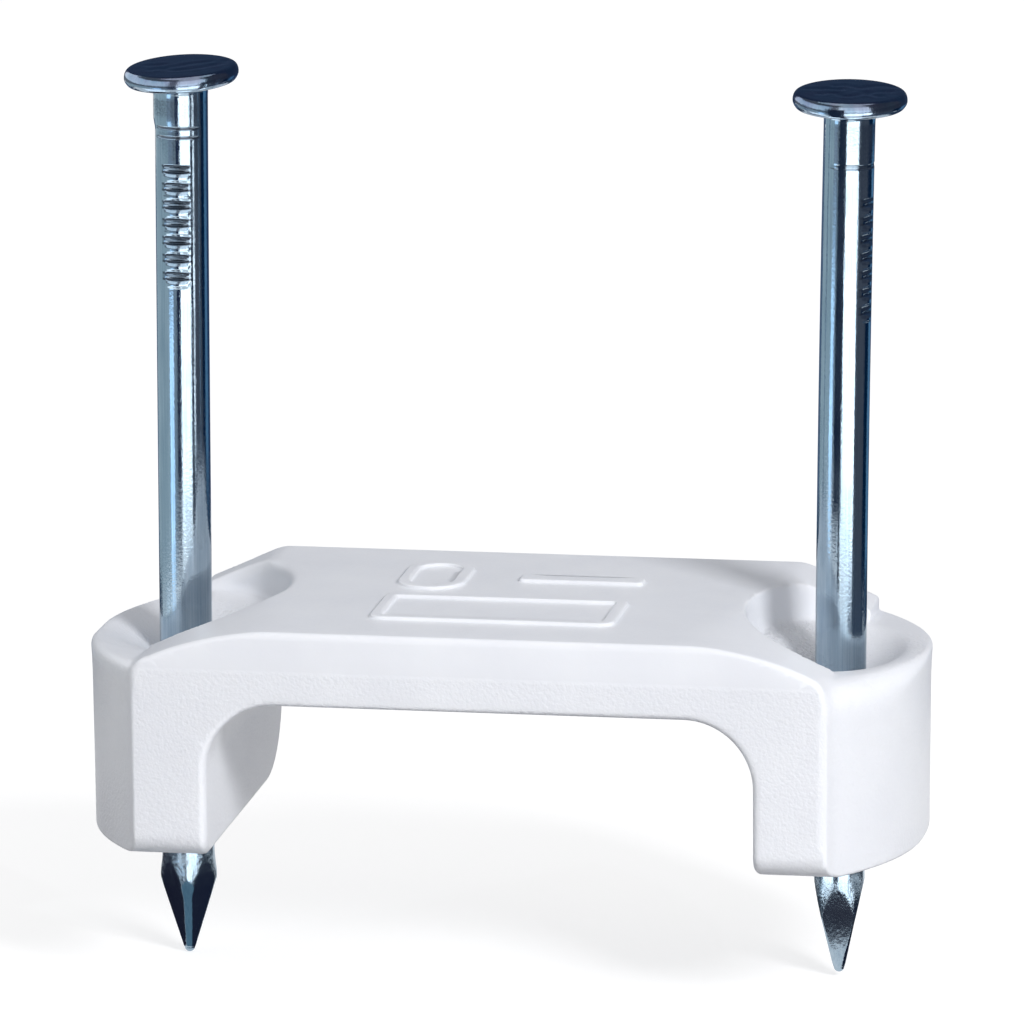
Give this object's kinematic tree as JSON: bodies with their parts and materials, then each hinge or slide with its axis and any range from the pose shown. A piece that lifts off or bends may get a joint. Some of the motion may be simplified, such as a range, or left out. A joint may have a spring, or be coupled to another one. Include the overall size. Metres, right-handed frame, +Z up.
{
  "type": "insulated cable staple",
  "caption": "White plastic saddle with bowed ends that straddles a flat cable, with steel nails standing in its legs ready to be driven.",
  "frame": {"origin": "midway between the two nails, on the plane of the feet, which is the face of the wall or joist that the staple is nailed to", "axes": "+Z up out of the wall along the nails, X from nail to nail across the cable, Y along the cable with the front at -Y"},
  "size_m": [0.0294, 0.014, 0.0319],
  "materials": {
    "white_plastic": "moulded polyethylene, smooth above the parting line and finely textured below it",
    "zinc_plated_steel": "bright zinc plate with a blue cast, streaky along the shank and darker on the heads"
  },
  "bodies": {
    "root": {"saddle": "white_plastic", "left_nail": "zinc_plated_steel", "right_nail": "zinc_plated_steel"}
  },
  "joints": []
}
